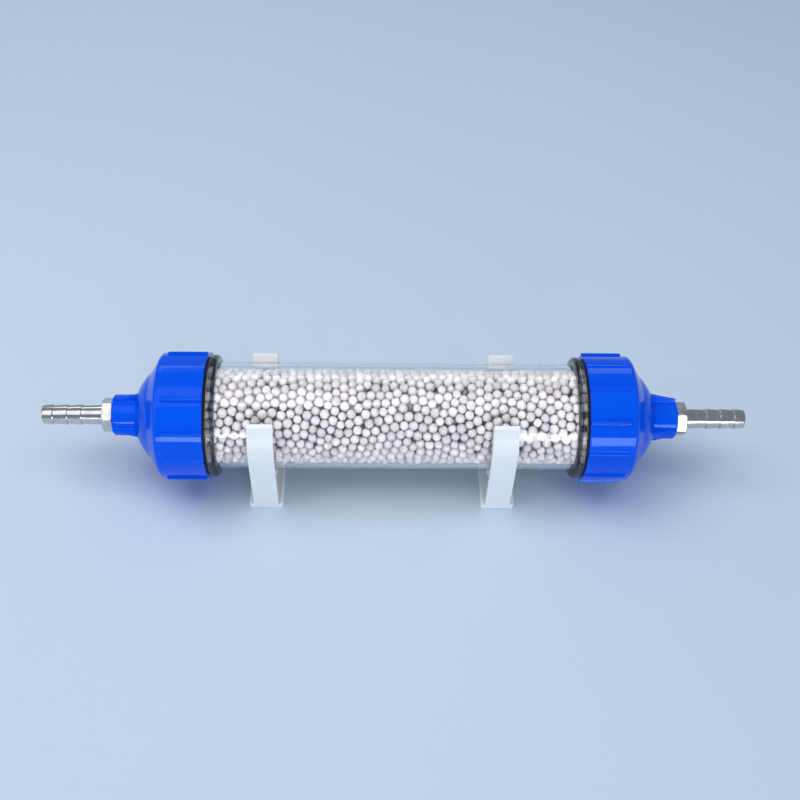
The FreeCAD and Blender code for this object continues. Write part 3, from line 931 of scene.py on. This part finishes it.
def beadMesh(beads):
    # one small sphere, repeated for every bead and given its size, place and tone
    bed = bmesh.new()
    tone = bed.verts.layers.float.new("beadTone")
    pattern = bmesh.new()
    bmesh.ops.create_icosphere(pattern, subdivisions=2, radius=1.0)
    sample = bpy.data.meshes.new("beadPattern")
    pattern.to_mesh(sample)
    perBead = len(pattern.verts)
    pattern.free()
    for bead in beads:
        bed.from_mesh(sample)
    bpy.data.meshes.remove(sample)
    number = 0
    for bead in beads:
        bead.append(random.random())
        bead.append(Matrix.Rotation(random.uniform(0, math.pi), 3, "X"))
    for spot in bed.verts:
        centre, size, reach, layer, shade, turned = beads[number // perBead]
        spot.co = centre + turned @ spot.co * size
        spot[tone] = shade
        number += 1
    return bed


def addBeads(outerMaterial, innerShadeMaterial):
    beads = scatterBeads()
    outer = [bead for bead in beads if bead[3] == 0]
    inner = [bead for bead in beads if bead[3] == 1]
    addPiece("bead_outer_layer", beadMesh(outer), outerMaterial, "tube",
             ["desiccant_beads"], endPlace("right"), sharpAbove=180)
    # the beads behind take the darker material, as painted shade in the gaps
    addPiece("bead_second_layer", beadMesh(inner), innerShadeMaterial, "tube",
             place=endPlace("right"), sharpAbove=180)
    halfLength, radius = bedHigh.x, bedHigh.z - axisHeight
    coreRadius = radius - beadBed["coreDepth"]
    coreHalf, coreRound = halfLength - beadBed["coreSetback"], beadBed["coreRound"]
    core = [(coreHalf, 0.0, 0), (coreHalf, coreRadius, coreRound),
            (-coreHalf, coreRadius, coreRound), (-coreHalf, 0.0, 0)]
    # a dark core put where the bed's depth holds only shade: painted shade
    addPiece("bead_core", turnedShape(core, 96), innerShadeMaterial, "tube",
             place=endPlace("right"))
    print("beads packed:", len(outer), "outer and", len(inner), "behind them")


# Seals and foam pads

sealLow, sealHigh = nodeBox("right_cap_seal")
padLow, padHigh = nodeBox("right_filter_pad")


def addSealsAndPads(rubber, foam):
    sealRadius = (sealHigh.x - sealLow.x) / 2
    ringRadius = sealHigh.z - axisHeight - sealRadius
    sealMiddle = (sealHigh.x + sealLow.x) / 2
    sealOutline, sealSteps = [], 20
    for step in range(sealSteps):
        angle = math.tau * step / sealSteps
        x = sealMiddle + sealRadius * math.cos(angle)
        sealOutline.append((x, ringRadius + sealRadius * math.sin(angle), 0))
    padRadius = padHigh.z - axisHeight
    padOutline = [(padLow.x, 0.0, 0), (padLow.x, padRadius, 0.5), (padHigh.x, padRadius, 0.5),
                  (padHigh.x, 0.0, 0)]
    for side in endTurns:
        addPiece(side + "_seal_ring", turnedShape(sealOutline, 240), rubber, "tube",
                 [side + "_cap_seal"], endPlace(side))
        addPiece(side + "_foam_pad", turnedShape(padOutline, 160), foam, "tube",
                 [side + "_filter_pad"], endPlace(side))
    print("seals and pads built")


# Clips: springy saddle arms on a channelled base, with a screw post

clip = {
    "armWidth": 11.8,
    "wall": 2.5,
    "gripGap": 0.1,
    "mouthAngle": 38.0,
    "lipLength": 4.0,
    "lipAngle": 62.0,
    "lipSetback": 9.0,
    "lipShare": 0.8,          # of the wall
    "edgeRound": 0.35,
    "baseRound": 0.22,
    "baseThickness": 2.4,
    "rimWidth": 1.3,
    "rimHeight": 0.9,
    "cornerRound": 1.2,
    "baseLength": 48.0,
    "postRadius": 5.0,
    "screwRadius": 2.2,
    "screwHeadRadius": 4.2,
    "screwHeadDepth": 2.0,
    "overlap": 0.3,
    "cutSpare": 1.0,
}


def clipPolar(radius, angle):
    return Vector((radius * math.cos(math.radians(angle)), radius * math.sin(math.radians(angle))))


def arcPoints(radius, first, last, step=4.0):
    count = max(2, round(abs(last - first) / step))
    return [clipPolar(radius, first + (last - first) * number / count) for number in range(count + 1)]


def armOutline(baseHalf):
    # the side view of saddle, arms and legs as one closed line, in (y, z) from the axis
    inner = clearTube["outerRadius"] + clip["gripGap"]
    outer = inner + clip["wall"]
    foot = Vector((baseHalf, -axisHeight))
    footAngle = math.degrees(math.atan2(foot.y, foot.x))
    legTop = footAngle + math.degrees(math.acos(outer / foot.length))
    legInside = legTop - math.degrees(math.acos(inner / outer))
    legLine = clipPolar(outer, legTop) - foot
    inside = clipPolar(outer, legInside)
    footInside = inside - legLine * ((inside.y + axisHeight) / legLine.y)
    lipAngle = math.radians(clip["lipAngle"])
    lipInner = clipPolar(inner, clip["mouthAngle"])
    lipInner += Vector((math.cos(lipAngle), math.sin(lipAngle))) * clip["lipLength"]
    lipOuter = lipInner + Vector((math.sin(lipAngle), -math.cos(lipAngle))) * clip["wall"] * clip["lipShare"]
    lipRoot = clip["mouthAngle"] - clip["lipSetback"]
    half = arcPoints(inner, -90, clip["mouthAngle"]) + [lipInner, lipOuter]
    half += arcPoints(outer, lipRoot, legTop) + [foot, footInside]
    half += arcPoints(outer, legInside, -90)
    mirrored = [Vector((-spot.x, spot.y)) for spot in reversed(half)]
    return half[1:-1], mirrored[1:-1], clipPolar(outer, -90), clipPolar(inner, -90)


def extrudedOutline(points, low, high, axis):
    # a flat outline drawn in (sideways, up), given a length along X or Y
    mesh = bmesh.new()
    spots = []
    for point in points:
        spot = (low, point.x, point.y) if axis == "X" else (point.x, low, point.y)
        spots.append(mesh.verts.new(spot))
    face = mesh.faces.new(spots)
    grown = bmesh.ops.extrude_face_region(mesh, geom=[face])["geom"]
    shift = (high - low, 0, 0) if axis == "X" else (0, high - low, 0)
    moved = [part for part in grown if isinstance(part, bmesh.types.BMVert)]
    bmesh.ops.translate(mesh, vec=shift, verts=moved)
    bmesh.ops.recalc_face_normals(mesh, faces=mesh.faces)
    return mesh


def bevelSharp(mesh, size, angle, segments):
    least = math.radians(angle)
    sharp = [edge for edge in mesh.edges if edge.is_manifold and edge.calc_face_angle() > least]
    bmesh.ops.bevel(mesh, geom=sharp, offset=size, offset_type="OFFSET", segments=segments, profile=0.5,
                    affect="EDGES", material=-1, clamp_overlap=True)


def standIn(name, mesh):
    data = bpy.data.meshes.new(name)
    mesh.to_mesh(data)
    mesh.free()
    holder = bpy.data.objects.new(name, data)
    bpy.context.scene.collection.objects.link(holder)
    return holder


def combined(base, joined, cut):
    # one closed mesh: the joined solids added to the base, then the cut solids taken away
    for operation, others in (("UNION", joined), ("DIFFERENCE", cut)):
        for other in others:
            step = base.modifiers.new("combine", "BOOLEAN")
            step.operation = operation
            step.solver = "EXACT"
            step.object = other
    seen = bpy.context.evaluated_depsgraph_get()
    result = bmesh.new()
    result.from_mesh(base.evaluated_get(seen).to_mesh())
    for holder in [base] + joined + cut:
        data = holder.data
        bpy.data.objects.remove(holder)
        bpy.data.meshes.remove(data)
    return result


def uprightShape(outline):
    # (height, radius) points turned about a clip's own upright axis
    return spunShape([(radius, 0.0, height) for height, radius in outline], False, (0, 0, 1), 64)


def buildClip(low, high):
    middleX, baseHalf = (low.x + high.x) / 2, clip["baseLength"] / 2
    halfWidth, halfArm = (high.x - low.x) / 2, clip["armWidth"] / 2
    right, left, lowest, saddle = armOutline(baseHalf)
    arms = extrudedOutline([saddle] + right + [lowest] + left, -halfArm, halfArm, "X")
    bevelSharp(arms, clip["edgeRound"], 25.0, 3)

    floor, top = -axisHeight, -axisHeight + clip["baseThickness"]
    rimTop = top + clip["rimHeight"]
    channel = halfWidth - clip["rimWidth"]
    section = [(-halfWidth, floor), (halfWidth, floor), (halfWidth, rimTop), (channel, rimTop),
               (channel, top), (-channel, top), (-channel, rimTop), (-halfWidth, rimTop)]
    base = extrudedOutline([Vector(point) for point in section], -baseHalf, baseHalf, "Y")
    upright = []
    for edge in base.edges:
        first, second = edge.verts
        sides = abs(abs(first.co.x) - halfWidth) < 0.01 and abs(abs(second.co.x) - halfWidth) < 0.01
        if sides and abs(first.co.z - second.co.z) > 0.1:
            upright.append(edge)
    bmesh.ops.bevel(base, geom=upright, offset=clip["cornerRound"], offset_type="OFFSET", segments=5,
                    profile=0.5, affect="EDGES", material=-1)
    bevelSharp(base, clip["baseRound"], 40.0, 2)

    seat = -(clearTube["outerRadius"] + clip["gripGap"])
    postFoot, postTop = floor + clip["overlap"], seat - clip["wall"] / 2
    post = uprightShape([(postFoot, 0.0), (postFoot, clip["postRadius"]),
                         (postTop, clip["postRadius"]), (postTop, 0.0)])
    cutFoot, cutTop = floor - clip["cutSpare"], seat + clip["cutSpare"]
    sinkFloor = seat - clip["screwHeadDepth"]
    hole = uprightShape([(cutFoot, 0.0), (cutFoot, clip["screwRadius"]),
                         (sinkFloor, clip["screwRadius"]), (seat, clip["screwHeadRadius"]),
                         (cutTop, clip["screwHeadRadius"]), (cutTop, 0.0)])
    whole = combined(standIn("clipBase", base), [standIn("clipArms", arms), standIn("clipPost", post)],
                     [standIn("clipHole", hole)])
    bmesh.ops.translate(whole, vec=(middleX, 0.0, 0.0), verts=whole.verts)
    return whole


def addClips(material):
    for side in endTurns:
        low, high = nodeBox(side + "_clip")
        addPiece(side + "_tube_clip", buildClip(low, high), material, "tube",
                 [side + "_clip"], endPlace("right"))
    print("clips built")


def dressStrainers(material):
    for side in endTurns:
        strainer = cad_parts[side + "_strainer"]
        strainer.data.materials.clear()
        strainer.data.materials.append(material)


def addFloor(material):
    mesh = bmesh.new()
    bmesh.ops.create_grid(mesh, x_segments=2, y_segments=2, size=studio["floorSize"])
    data = bpy.data.meshes.new("studioFloor")
    mesh.to_mesh(data)
    mesh.free()
    data.materials.append(material)
    floor = bpy.data.objects.new("studioFloor", data)
    bpy.context.scene.collection.objects.link(floor)


bpy.context.scene.view_settings.view_transform = "Standard"
addCamera()
addLamps()
addSky()
addFloor(makeFloorPaint())
addCaps(makeCapPlastic())
addBarbs(makeBarbMetal())
# the two collar materials carry painted shade
addTube(makeClearPlastic("clearTubePlastic", tones["clear"]),
        makeClearPlastic("collarPaintedShadePlastic", tones["collar"]),
        makeClearPlastic("collarEdgePaintedShadePlastic", tones["collarEdge"]))
# the second material is the beads' colour darkened as painted shade
addBeads(makeBeadCeramic("beadCeramic", tones["bead"]),
         makeBeadCeramic("beadCeramicPaintedShade", tones["beadPaintedShade"]))
addSealsAndPads(makeSealRubber(), makeFilterFoam())
addClips(makeClipPlastic())
dressStrainers(makeStrainerPlastic())
